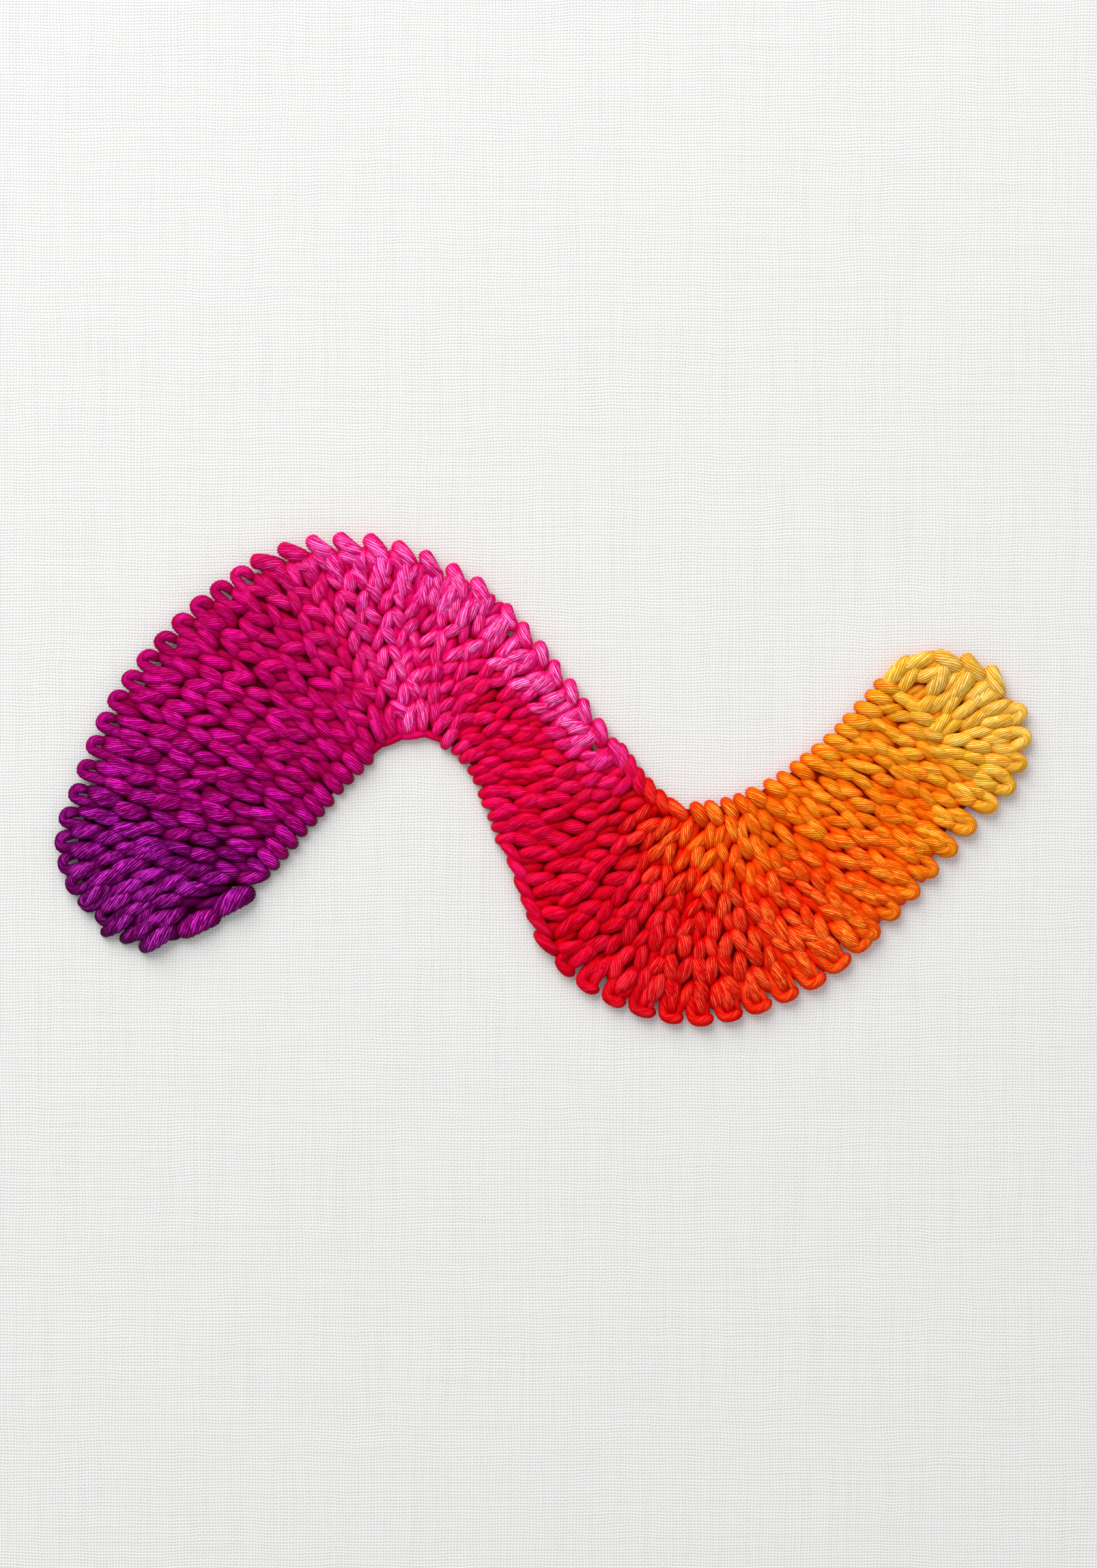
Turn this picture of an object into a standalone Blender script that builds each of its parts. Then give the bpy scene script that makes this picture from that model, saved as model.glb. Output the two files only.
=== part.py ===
"""A wave band of long and short stitches, blended through fourteen thread colours, on a cut piece of white linen.

Metres, +Z up. The cloth lies on the ground with its underside at z = 0 and its middle over the origin.
A place on the band is a rung, counted from the purple end and with shares between two rungs, and a share
across it, from -1 at the lower rim to 1 at the upper one.
"""

import math
from collections import namedtuple

import bmesh
import bpy
from mathutils import Vector

CLOTH_WIDTH = 0.142
CLOTH_LENGTH = 0.200
CLOTH_THICKNESS = 0.001
CLOTH_CORNER_RADIUS = 0.0012
CLOTH_CORNER_STEPS = 3

SEAT_GAP = 0.0003  # between two pieces that touch
BAND_FLOOR = CLOTH_THICKNESS + SEAT_GAP

STITCH_ROWS = 7  # rows of stitches side by side across the band
STITCH_PITCH = 0.0021  # from one stitch to the next along the middle of the band
RIM_HEIGHT = 0.0007  # where the rim stitches go down into the cloth
SHOULDER_HEIGHT = 0.0013  # just inside the rim
VALLEY_HEIGHT = 0.0012  # between two rows
CREST_HEIGHT = 0.0019  # on top of a stitch
CREST_DIP = 0.0004  # between two stitches of one row
SHOULDER_SHARE = 0.94  # where the shoulder lies across the band
SCALLOP_SHARE = 0.18  # how far a rim stitch stands out, and a gap in, as a share of their pitch

START_CAP_LENGTH = 0.0116  # the blunt purple end, past the first rung
END_CAP_LENGTH = 0.0112  # the round yellow end, past the last rung
CAP_TURN = math.radians(78)  # how far round its ellipse a cap goes before it is closed straight
SMALL_STEP = 1e-4  # in rungs and shares, to measure a direction

SHARP_ANGLE = math.radians(50)  # faces that meet at more than this keep a sharp edge
THREAD_ROUGHNESS = 0.55
CLOTH_COLOUR = "f1f1ef"
CLOTH_ROUGHNESS = 0.9

# The guide lines that the stitches follow, from the lower rim of the band to the upper one
Rung = namedtuple("Rung", "lower upper")
RUNGS = (
    Rung(lower=(-0.0355, -0.0125), upper=(-0.0595, -0.0035)),
    Rung(lower=(-0.0260, -0.0015), upper=(-0.0525, 0.0125)),
    Rung(lower=(-0.0205, 0.0040), upper=(-0.0380, 0.0265)),
    Rung(lower=(-0.0170, 0.0055), upper=(-0.0235, 0.0305)),
    Rung(lower=(-0.0135, 0.0050), upper=(-0.0085, 0.0250)),
    Rung(lower=(-0.0095, 0.0015), upper=(0.0015, 0.0145)),
    Rung(lower=(-0.0050, -0.0095), upper=(0.0085, 0.0050)),
    Rung(lower=(0.0020, -0.0235), upper=(0.0145, -0.0015)),
    Rung(lower=(0.0170, -0.0295), upper=(0.0195, -0.0025)),
    Rung(lower=(0.0315, -0.0255), upper=(0.0265, 0.0000)),
    Rung(lower=(0.0420, -0.0170), upper=(0.0345, 0.0060)),
    Rung(lower=(0.0535, -0.0040), upper=(0.0420, 0.0145)),
)
LAST_RUNG = len(RUNGS) - 1

WHOLE_WIDTH = (-1, 1)
LOWER_ROWS = (-1, 1 / STITCH_ROWS)  # four rows of seven
UPPER_ROWS = (1 / STITCH_ROWS, 1)  # the other three

# One thread each: its colour, the rungs that it runs between, and the rows across that it fills
Thread = namedtuple("Thread", "name colour start end rows")
THREADS = (
    Thread("stitches_aubergine", "6e035a", -1, 0.15, WHOLE_WIDTH),
    Thread("stitches_plum", "8a0463", 0.15, 0.7, WHOLE_WIDTH),
    Thread("stitches_mulberry", "a60463", 0.7, 1.4, WHOLE_WIDTH),
    Thread("stitches_cerise", "b80458", 1.4, 2.1, WHOLE_WIDTH),
    Thread("stitches_fuchsia", "d3066c", 2.1, 2.8, WHOLE_WIDTH),
    Thread("stitches_rose", "ee50a0", 2.8, 5.9, UPPER_ROWS),
    Thread("stitches_raspberry", "d80562", 2.8, 4.6, LOWER_ROWS),
    Thread("stitches_crimson", "d1023c", 4.6, 6.6, LOWER_ROWS),
    Thread("stitches_vermilion", "e8300e", 5.9, 8.2, UPPER_ROWS),
    Thread("stitches_scarlet", "d60320", 6.6, 8.2, LOWER_ROWS),
    Thread("stitches_tangerine", "ee560c", 8.2, 9.3, WHOLE_WIDTH),
    Thread("stitches_orange", "f47a0c", 9.3, 10.4, WHOLE_WIDTH),
    Thread("stitches_amber", "f39a1c", 10.4, 10.85, WHOLE_WIDTH),
    Thread("stitches_straw", "eebb40", 10.85, LAST_RUNG + 1, WHOLE_WIDTH),
)


def clear_scene():
    for obj in list(bpy.data.objects):
        bpy.data.objects.remove(obj, do_unlink=True)


def linear_colour(code):
    """An sRGB hex code as the linear values that a shader takes."""
    shares = [int(code[i : i + 2], 16) / 255 for i in (0, 2, 4)]
    return [c / 12.92 if c <= 0.04045 else ((c + 0.055) / 1.055) ** 2.4 for c in shares]


def fabric_material(name, code, roughness):
    material = bpy.data.materials.new(name)
    material.use_nodes = True
    shader = material.node_tree.nodes["Principled BSDF"]
    shader.inputs["Base Color"].default_value = (*linear_colour(code), 1)
    shader.inputs["Roughness"].default_value = roughness
    shader.inputs["Metallic"].default_value = 0
    return material


def add_object(name, shape, material):
    shape.normal_update()
    mesh = bpy.data.meshes.new(name)
    shape.to_mesh(mesh)
    shape.free()
    mesh.materials.append(material)
    mesh.shade_smooth()
    mesh.set_sharp_from_angle(angle=SHARP_ANGLE)
    obj = bpy.data.objects.new(name, mesh)
    bpy.context.scene.collection.objects.link(obj)
    return obj


def close_below(shape, floor):
    """Turns an open sheet into a solid: its edge goes straight down to a flat underside."""
    edge = [e for e in shape.edges if e.is_boundary]
    walls = bmesh.ops.extrude_edge_only(shape, edges=edge)["geom"]
    for vertex in (v for v in walls if isinstance(v, bmesh.types.BMVert)):
        vertex.co.z = floor
    foot = [e for e in walls if isinstance(e, bmesh.types.BMEdge) and e.is_boundary]
    bmesh.ops.edgeloop_fill(shape, edges=foot)
    bmesh.ops.recalc_face_normals(shape, faces=shape.faces[:])


def make_cloth():
    """The linen: a flat sheet with its four corners just rounded."""
    shape = bmesh.new()
    bmesh.ops.create_grid(shape, x_segments=1, y_segments=1, size=0.5)
    for vertex in shape.verts:
        vertex.co = Vector((vertex.co.x * CLOTH_WIDTH, vertex.co.y * CLOTH_LENGTH, CLOTH_THICKNESS))
    bmesh.ops.bevel(
        shape,
        geom=shape.verts[:],
        affect="VERTICES",
        offset=CLOTH_CORNER_RADIUS,
        offset_type="OFFSET",
        segments=CLOTH_CORNER_STEPS,
        profile=0.5,
    )
    close_below(shape, 0)
    return add_object("linen_ground", shape, fabric_material("linen", CLOTH_COLOUR, CLOTH_ROUGHNESS))


def smooth_point(points, place):
    """A point on the smooth curve through the points: place 2.5 is half way from the third to the fourth."""
    last = len(points) - 1
    first = min(int(place), last - 1)
    share = place - first
    near = [Vector((*points[min(max(i, 0), last)], 0)) for i in range(first - 1, first + 3)]
    chain = [near[1], near[1] + (near[2] - near[0]) / 6, near[2] - (near[3] - near[1]) / 6, near[2]]
    while len(chain) > 1:
        chain = [a.lerp(b, share) for a, b in zip(chain, chain[1:])]
    return chain[0]


LOWER_RIM = [rung.lower for rung in RUNGS]
UPPER_RIM = [rung.upper for rung in RUNGS]


def band_point(place, across):
    """The point at a rung place and a share across. Past the first and last rung the band rounds off."""
    on_band = min(max(place, 0), LAST_RUNG)
    lower, upper = smooth_point(LOWER_RIM, on_band), smooth_point(UPPER_RIM, on_band)
    middle, half = (lower + upper) / 2, (upper - lower) / 2
    if place == on_band:
        return middle + half * across
    past = (place - on_band) * CAP_TURN
    outward = Vector((half.y, -half.x, 0)).normalized()
    length = START_CAP_LENGTH if past < 0 else END_CAP_LENGTH
    return middle + outward * length * math.sin(past) + half * math.cos(past) * across


def along_band(place, across):
    """The way that the band runs at a point, as metres for each rung."""
    behind = band_point(place - SMALL_STEP, across)
    return (band_point(place + SMALL_STEP, across) - behind) / (2 * SMALL_STEP)


def rows_between(lower, upper):
    """Places across the band: both rims, their shoulders, and each crest and valley of the rows."""
    inner = [-1 + i / STITCH_ROWS for i in range(1, 2 * STITCH_ROWS)]
    places = [-1, -SHOULDER_SHARE, *inner, SHOULDER_SHARE, 1]
    return [place for place in places if lower - SMALL_STEP < place < upper + SMALL_STEP]


def height_at(across, on_stitch):
    """The height of the stitched surface over the band's floor."""
    if abs(across) == 1:
        return RIM_HEIGHT
    if abs(across) == SHOULDER_SHARE:
        return SHOULDER_HEIGHT
    half_rows = round((across + 1) * STITCH_ROWS)
    if half_rows % 2 == 0:
        return VALLEY_HEIGHT
    on_crest = on_stitch ^ (half_rows // 2 % 2 == 0)
    return CREST_HEIGHT if on_crest else CREST_HEIGHT - CREST_DIP


def stitch_steps(thread):
    """Half stitches along the middle of one thread's rows."""
    count = 24
    places = [thread.start + (thread.end - thread.start) * i / count for i in range(count + 1)]
    points = [band_point(place, sum(thread.rows) / 2) for place in places]
    length = sum((b - a).length for a, b in zip(points, points[1:]))
    return 2 * round(length / STITCH_PITCH)


def gap_across(place):
    """Half the gap between two threads side by side, as a share across."""
    return SEAT_GAP / (band_point(place, 1) - band_point(place, -1)).length


def gap_along(place, across):
    """Half the gap between two threads end to end, in rungs, square to the rung between them."""
    rung = (band_point(place, 1) - band_point(place, -1)).normalized()
    return SEAT_GAP / 2 / along_band(place, across).cross(rung).length


def make_thread_block(thread):
    """One thread's stitches: rows raised on top, a scalloped rim, and a flat underside on the linen."""
    steps = stitch_steps(thread)
    rows = rows_between(*thread.rows)
    shape = bmesh.new()
    bmesh.ops.create_grid(shape, x_segments=steps, y_segments=len(rows) - 1, size=1)
    for vertex in shape.verts:
        step = round((vertex.co.x + 1) / 2 * steps)
        row = round((vertex.co.y + 1) / 2 * (len(rows) - 1))
        across = rows[row]
        start = thread.start + (gap_along(thread.start, across) if thread.start > 0 else 0)
        end = thread.end - (gap_along(thread.end, across) if thread.end < LAST_RUNG else 0)
        place = start + (end - start) * step / steps
        on_stitch = step % 2 == 1
        height = height_at(across, on_stitch)
        if abs(across) == 1:
            point = band_point(place, across)
            pitch = along_band(place, across).length * (end - start) / steps * 2
            outward = (point - band_point(place, 0)).normalized()
            point += outward * pitch * SCALLOP_SHARE * (1 if on_stitch else -1)
        elif row in (0, len(rows) - 1):
            point = band_point(place, across + gap_across(place) * (1 if row == 0 else -1))
        else:
            point = band_point(place, across)
        vertex.co = Vector((point.x, point.y, BAND_FLOOR + height))
    close_below(shape, BAND_FLOOR)
    material = fabric_material(thread.name.replace("stitches", "thread"), thread.colour, THREAD_ROUGHNESS)
    return add_object(thread.name, shape, material)


def main():
    clear_scene()
    make_cloth()
    for thread in THREADS:
        make_thread_block(thread)


main()
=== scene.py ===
import math
import random

import bmesh
import bpy
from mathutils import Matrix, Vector, noise


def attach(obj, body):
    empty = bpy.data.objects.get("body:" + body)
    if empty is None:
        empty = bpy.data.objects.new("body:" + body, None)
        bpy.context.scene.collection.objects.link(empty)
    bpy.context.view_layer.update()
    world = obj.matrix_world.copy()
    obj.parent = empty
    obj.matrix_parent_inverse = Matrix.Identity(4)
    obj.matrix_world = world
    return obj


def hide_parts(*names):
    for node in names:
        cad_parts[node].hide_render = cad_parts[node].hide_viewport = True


# Thread painting: a wave band of stranded cotton, laid stitch by stitch on white linen.
# Layout sizes are in millimetres and become metres where a mesh is made.

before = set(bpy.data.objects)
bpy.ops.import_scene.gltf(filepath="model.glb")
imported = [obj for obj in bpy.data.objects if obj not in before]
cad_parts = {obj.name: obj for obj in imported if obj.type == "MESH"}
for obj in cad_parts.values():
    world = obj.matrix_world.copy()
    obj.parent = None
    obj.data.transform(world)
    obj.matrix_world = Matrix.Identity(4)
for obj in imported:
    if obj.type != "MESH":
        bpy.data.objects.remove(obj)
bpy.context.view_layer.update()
mm = 0.001
linenTop = 1.0  # height of the cloth's face, which the heights of the stitches are measured from
quarterTurn = math.pi / 2


def linear(hexColour):
    parts = [int(hexColour[i:i + 2], 16) / 255 for i in (0, 2, 4)]
    return [c / 12.92 if c <= 0.04045 else ((c + 0.055) / 1.055) ** 2.4 for c in parts]


def mix(a, b, share):
    return a + (b - a) * share


def smoothShare(low, high, value):
    share = min(max((value - low) / (high - low), 0), 1)
    return share * share * (3 - 2 * share)


def fromTable(values, spot):
    # value at a spot of 0 to 1 along evenly spaced ones
    place = min(max(spot, 0), 1) * (len(values) - 1)
    first = min(int(place), len(values) - 2)
    return mix(values[first], values[first + 1], place - first)


def table(columns, *rows):
    # a dictionary for each row
    return [dict(zip(columns.split(), row)) for row in rows]


def setInputs(tree, node, inputs):
    # inputs by name or number, each a value, an output, or a node whose first output is meant
    for key, value in inputs.items():
        if isinstance(value, bpy.types.Node):
            value = value.outputs[0]
        if isinstance(value, bpy.types.NodeSocket):
            tree.links.new(value, node.inputs[key])
        else:
            node.inputs[key].default_value = value


def addNode(tree, kind, inputs=None, **settings):
    node = tree.nodes.new(kind)
    for name, value in settings.items():
        setattr(node, name, value)
    setInputs(tree, node, inputs or {})
    return node


def newMaterial(name):
    material = bpy.data.materials.new(name)
    material.use_nodes = True
    return material, material.node_tree


def addObject(name, data):
    added = bpy.data.objects.new(name, data)
    bpy.context.scene.collection.objects.link(added)
    return added


# Guide lines across the band. leans is how far the stitches turn from the line at the lower rim, in the
# middle and at the upper rim, in degrees anticlockwise, fan how far neighbours spread from that by turns,
# rows how many stitches reach from rim to rim, and sizes how big they are near the lower and upper rim.
rungs = table(
    "lower upper leans fan rows sizes",
    ((-35.5, -12.5), (-59.5, -3.5), (2, 14, 6), 6, 8, (1.0, 1.3)),
    ((-26.0, -1.5), (-52.5, 12.5), (-10, 10, 10), 10, 9, (0.92, 1.16)),
    ((-20.5, 4.0), (-38.0, 26.5), (-8, 24, 12), 20, 10, (0.9, 1.0)),
    ((-17.0, 5.5), (-23.5, 30.5), (0, -8, 0), 28, 11, (0.86, 0.94)),
    ((-13.5, 5.0), (-8.5, 25.0), (-20, -34, -26), 22, 10, (0.84, 0.9)),
    ((-9.5, 1.5), (1.5, 14.5), (-34, -38, -26), 12, 8, (0.84, 0.96)),
    ((-5.0, -9.5), (8.5, 5.0), (-50, -42, -32), 10, 9, (1.02, 0.92)),
    ((2.0, -23.5), (14.5, -1.5), (-28, -24, -20), 14, 10, (1.2, 0.88)),
    ((17.0, -29.5), (19.5, -2.5), (4, -10, -18), 18, 10, (1.2, 0.86)),
    ((31.5, -25.5), (26.5, 0.0), (22, 32, 30), 12, 10, (1.1, 0.86)),
    ((42.0, -17.0), (34.5, 6.0), (38, 44, 48), 8, 11, (0.96, 0.84)),
    ((53.5, -4.0), (42.0, 14.5), (34, 34, 44), 8, 10, (0.94, 0.88)),
)
band = {
    "startCap": 11.6,  # how far the purple end reaches past the first guide line
    "endCap": 11.2,  # and the straw yellow end past the last
    "startLeans": (16, 26, 34, 42, 52, 62),  # lean from the first guide line down to the tip
    "endTurns": (-95, -25, -8, 6, 33),  # turn from the spokes, upper rim round to lower rim
}
lastRung = len(rungs) - 1
lowerRim, upperRim, fans = ([rung[key] for rung in rungs] for key in ("lower", "upper", "fan"))
lowerSizes, upperSizes = zip(*(rung["sizes"] for rung in rungs))


def smoothPoint(points, place):
    # point on the smooth curve through points, where place counts them
    last = len(points) - 1
    first = min(int(place), last - 1)
    share = place - first
    near = [Vector(points[min(max(i, 0), last)]) for i in range(first - 1, first + 3)]
    chain = [near[1], near[1] + (near[2] - near[0]) / 6, near[2] - (near[3] - near[1]) / 6, near[2]]
    while len(chain) > 1:
        chain = [a.lerp(b, share) for a, b in zip(chain, chain[1:])]
    return chain[0]


def bandPoint(place, across):
    # place counts guide lines, with the round ends below 0 and past the last, and across runs from -1 at
    # the lower rim to 1 at the upper rim
    onBand = min(max(place, 0), lastRung)
    lower, upper = smoothPoint(lowerRim, onBand), smoothPoint(upperRim, onBand)
    middle, half = (lower + upper) / 2, (upper - lower) / 2
    if place == onBand:
        return middle + half * across
    past = (place - onBand) * quarterTurn
    outward = Vector((half.y, -half.x)).normalized()
    length = band["startCap"] if past < 0 else band["endCap"]
    return middle + outward * length * math.sin(past) + half * math.cos(past) * across


def crossway(place):
    onBand = min(max(place, 0), lastRung)
    return (smoothPoint(upperRim, onBand) - smoothPoint(lowerRim, onBand)).normalized()


def alongway(place, across):
    return (bandPoint(place + 0.01, across) - bandPoint(place - 0.01, across)).normalized()


def bandWidth(place):
    return (bandPoint(place, 1) - bandPoint(place, -1)).length


def turned(way, degrees):
    angle = math.radians(degrees)
    return Vector((way.x * math.cos(angle) - way.y * math.sin(angle),
                   way.x * math.sin(angle) + way.y * math.cos(angle)))


def leftOf(way):
    return Vector((-way.y, way.x))


def leanAt(place, across):
    first = min(int(place), lastRung - 1)
    here, there = (fromTable(rungs[i]["leans"], (across + 1) / 2) for i in (first, first + 1))
    return mix(here, there, place - first)


def grainWay(place, across):
    # the direction in which the stitches lie, towards the upper rim
    if place > lastRung:
        past = (place - lastRung) * quarterTurn
        angle = past if across > 0 else math.pi - past
        spoke = turned(crossway(lastRung), -math.degrees(angle))
        return turned(spoke, fromTable(band["endTurns"], angle / math.pi))
    if place < 0:
        depth = math.sin(-place * quarterTurn)
        return turned(crossway(0), fromTable(band["startLeans"], depth))
    return turned(crossway(place), leanAt(place, across))


def sizeAt(place, across):
    spot = place / lastRung
    return mix(fromTable(lowerSizes, spot), fromTable(upperSizes, spot), (across + 1) / 2)


def stepsAlong(start, end, across, pitch):
    # places a pitch apart along the line at this share across the band
    places, walked, wanted = [], 0, pitch * 0.5
    count = 600
    here = bandPoint(start, across)
    for i in range(1, count + 1):
        place = mix(start, end, i / count)
        point = bandPoint(place, across)
        step = (point - here).length
        while walked + step >= wanted:
            places.append(mix(start, end, (i - 1 + (wanted - walked) / step) / count))
            wanted += pitch
        walked += step
        here = point
    return places


# Dyes in the order of the band: the dye on the flank of a stitch, a painted highlight for its top as if in
# full light, and the guide line where each is at its purest, at the lower rim, in the middle and at the upper
# rim
threadColours = [{"dye": linear(dye), "top": linear(top), "at": at} for dye, top, at in (
    ("5e024e", "d23acc", (-0.9, -0.9, -0.9)),
    ("74025e", "de2cd2", (0.0, 0.0, 0.1)),
    ("9e0364", "f41ec8", (0.6, 0.6, 0.6)),
    ("ba0362", "f818b6", (1.2, 1.2, 1.1)),
    ("cc0360", "f816a0", (1.9, 1.8, 1.7)),
    ("e00468", "ff38b4", (2.6, 2.4, 2.3)),
    ("f20688", "ff76de", (2.9, 3.0, 2.8)),
    ("fa1292", "ff9ef2", (3.3, 3.3, 5.35)),
    ("ee046c", "ff4ebe", (3.9, 3.75, 6.05)),
    ("ea0346", "ff1a8a", (5.2, 4.7, 6.4)),
    ("e60322", "fc1656", (6.9, 6.9, 6.6)),
    ("ee080a", "ff5a3c", (8.3, 8.2, 6.95)),
    ("fa3606", "ff963e", (9.05, 9.0, 7.5)),
    ("ff5e06", "ffb038", (9.8, 9.7, 8.1)),
    ("ff8606", "ffc036", (10.55, 10.45, 9.5)),
    ("ffae16", "ffd454", (10.85, 10.75, 10.6)),
    ("ffca2a", "ffe678", (11.2, 11.0, 10.85)),
    ("ffd444", "ffee98", (12.0, 11.8, 11.4)),
)]


def colourPlace(thread, across):
    lower, middle, upper = thread["at"]
    if across < 0:
        return mix(middle, lower, -across)
    return mix(middle, upper, smoothShare(-0.1, 0.6, across))


def threadColour(place, across, wander, tone="dye"):
    # the two nearest threads share the stitches where they meet
    centres = [colourPlace(thread, across) for thread in threadColours]
    place += wander
    for i in range(len(centres) - 1):
        if place < centres[i + 1] or i == len(centres) - 2:
            share = smoothShare(centres[i], max(centres[i + 1], centres[i] + 0.05), place)
            return [mix(a, b, share) for a, b in zip(threadColours[i][tone], threadColours[i + 1][tone])]


def paintedCreviceShade(colour):
    # painted shade: thread of this colour drawn darker and redder for down between stitches, where little
    # light reaches
    red, green, blue = colour
    return [red * (0.3 + 0.68 * red * red), green * (0.03 + 0.42 * green), blue * 0.15]


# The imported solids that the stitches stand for: guide lines from and to, share across from and to, and
# the tint of the thread's own gloss
rowBorder = 1 / 7
threadAreas = table(
    "thread from to low high gloss",
    ("aubergine", -1, 0.15, -1, 1, "b040c8"),
    ("plum", 0.15, 0.7, -1, 1, "b040b8"),
    ("mulberry", 0.7, 1.4, -1, 1, "d040a8"),
    ("cerise", 1.4, 2.1, -1, 1, "e050a8"),
    ("fuchsia", 2.1, 2.8, -1, 1, "f870c0"),
    ("rose", 2.8, 5.9, rowBorder, 1, "ff9cdc"),
    ("raspberry", 2.8, 4.6, -1, rowBorder, "ff70b8"),
    ("crimson", 4.6, 6.6, -1, rowBorder, "ff5078"),
    ("vermilion", 5.9, 8.2, rowBorder, 1, "ff9050"),
    ("scarlet", 6.6, 8.2, -1, rowBorder, "ff5050"),
    ("tangerine", 8.2, 9.3, -1, 1, "ffa050"),
    ("orange", 9.3, 10.4, -1, 1, "ffb850"),
    ("amber", 10.4, 10.85, -1, 1, "ffc860"),
    ("straw", 10.85, 12.0, -1, 1, "ffe890"),
)
for area in threadAreas:
    area["node"] = "stitches_" + area["thread"]
    area["stitches"] = []


def areaAt(place, across):
    for area in threadAreas:
        if area["from"] <= place <= area["to"] and area["low"] <= across <= area["high"]:
            return area
    return threadAreas[-1] if place > lastRung else threadAreas[0]


def stitchesLaid():
    return sum(len(area["stitches"]) for area in threadAreas)


stitch = {
    "girth": 0.83,  # half width of the laid bundle at its fattest
    "girths": (0.86, 1.14),  # least and most of that
    "pitch": 1.6,  # from one stitch to the next, square to the stitches
    "overlap": 1.1,  # length over the spacing of the rows
    "lengths": (0.84, 1.18),
    "longest": 4.2,
    "shortest": 2.5,
    "crown": 1.24,  # height of the middle over the linen
    "head": (0.4, 0.7),  # height of the end that shows, and its share of the girth
    "tail": (0.1, 0.52),  # the same for the end that dives under the next stitch
    "stagger": 0.36,  # every other stitch lies this much further up
    "sway": 11,  # degrees by which a stitch strays from its lean
    "wander": 0.09,  # guide lines by which a colour strays over its border
    "shift": 0.35,  # mm by which it strays from its place
    "bow": 0.22,  # how far its middle strays sideways
    "rise": 0.16,  # and up or down
    "lift": 0.2,  # most that its head lies higher
    "pathPoints": 8,
}
luck = random.Random(11)


def eitherWay(amount):
    return luck.uniform(-amount, amount)


def addStitch(place, across, path, girths, wind=1):
    # path in mm with heights over the linen, girths along it, and how hard it is twisted
    stray = eitherWay(stitch["wander"])
    light = luck.uniform(0.93, 1.07)
    # each stitch carries its dye, a painted shade for low down and in its grooves, and a painted highlight
    # for its top
    dye, top = ([min(c * light, 1) for c in threadColour(place, across, stray, tone)]
                for tone in ("dye", "top"))
    laid = {"path": path, "girths": girths, "wind": wind, "colours": (paintedCreviceShade(dye), dye, top),
            "number": stitchesLaid()}
    areaAt(place, across)["stitches"].append(laid)
    return laid


def layGrain(place, across, centre, way, length, girth, crown=stitch["crown"], tail=stitch["tail"]):
    # a plump stitch: its head shows, its tail dives under the next
    count = stitch["pathPoints"]
    bow = eitherWay(stitch["bow"])
    top = crown + eitherWay(stitch["rise"])
    lift = luck.uniform(0, stitch["lift"])
    path, bundle = [], []
    for i in range(count):
        share = (1 - math.cos(math.pi * i / (count - 1))) / 2
        rise = 4 * share * (1 - share)
        point = centre + way * (share - 0.5) * length + leftOf(way) * bow * rise
        low = mix(tail[0], stitch["head"][0], share)
        path.append((point.x, point.y, mix(low, top, rise ** 0.5) + lift * (share - 0.5) * rise))
        bundle.append(girth * mix(mix(tail[1], stitch["head"][1], share), 1, rise ** 0.45))
    return addStitch(place, across, path, bundle, 1.5 if place < 0.3 else 1)


# Rims where the thread turns back on itself in a hook. Knots of a hook: along the rim in half widths,
# outward from the rim in mm, height over the linen, share of the girth.
loopHook = [
    (-1.0, -5.2, 0.28, 0.62), (-1.0, -3.7, 1.02, 1.1), (-1.02, -2.1, 1.08, 1.06),
    (-0.78, -0.94, 1.1, 0.98), (0.02, -0.7, 1.14, 1.0), (0.78, -0.94, 1.18, 1.04),
    (1.04, -1.62, 1.08, 1.0), (1.0, -2.3, 0.45, 0.7),
]
benchHook = [
    (-0.9, -5.6, 0.28, 0.55), (-1.0, -3.9, 0.9, 0.98), (-1.04, -2.1, 1.0, 1.02),
    (-0.8, -0.98, 1.05, 0.98), (-0.15, -0.68, 1.1, 0.96), (0.55, -0.7, 1.15, 1.0),
    (1.0, -0.86, 1.1, 1.0), (1.22, -1.05, 0.6, 0.82),
]
angleHook = [
    (-0.98, -5.0, 0.28, 0.55), (-0.92, -3.4, 0.95, 0.98), (-0.86, -2.0, 1.05, 1.0),
    (-0.52, -1.0, 1.1, 1.0), (0.1, -0.76, 1.15, 1.04), (0.68, -1.2, 1.15, 1.08),
    (1.0, -2.1, 1.0, 1.02), (1.22, -3.2, 0.3, 0.62),
]
# lip is a thin end that rises from a hook's tip. under is the stitch that dives below it: how far along
# the rim and inward, its length and its girth.
hookedRims = table(
    "side from to pitch half girth knots curl lip under",
    (1, -0.9, -0.1, 3.0, 0.8, 0.66, loopHook, 1, False, None),
    (1, -0.1, 2.1, 3.15, 0.74, 0.7, loopHook, 1, False, (1.3, 4.0, 3.5, 0.8)),
    (-1, 6.8, 9.7, 3.8, 1.06, 0.68, benchHook, 1, True, (0.15, 3.6, 4.4, 0.84)),
    (-1, 9.7, 12.0, 3.5, 0.84, 0.74, angleHook, -1, False, (0.1, 4.5, 3.2, 0.74)),
)
# Rims where a fat grain lies over the end of a thin leg, which has a length and a girth. turn is how far
# the grain dips from the rim, in degrees.
beanRims = table(
    "side from to pitch turn length girth leg under",
    (1, 2.1, 4.3, 3.65, -38, 3.3, 1.02, (4.2, 0.6), (0.55, 4.3, 4.2, 1.0)),
    (1, 4.3, 6.1, 3.0, -26, 2.6, 0.84, (4.6, 0.76), (0.2, 3.5, 3.8, 0.84)),
    (1, 11.3, 12.0, 3.6, -30, 3.2, 1.02, (4.2, 0.62), (0.5, 4.1, 4.0, 1.0)),
)
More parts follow.
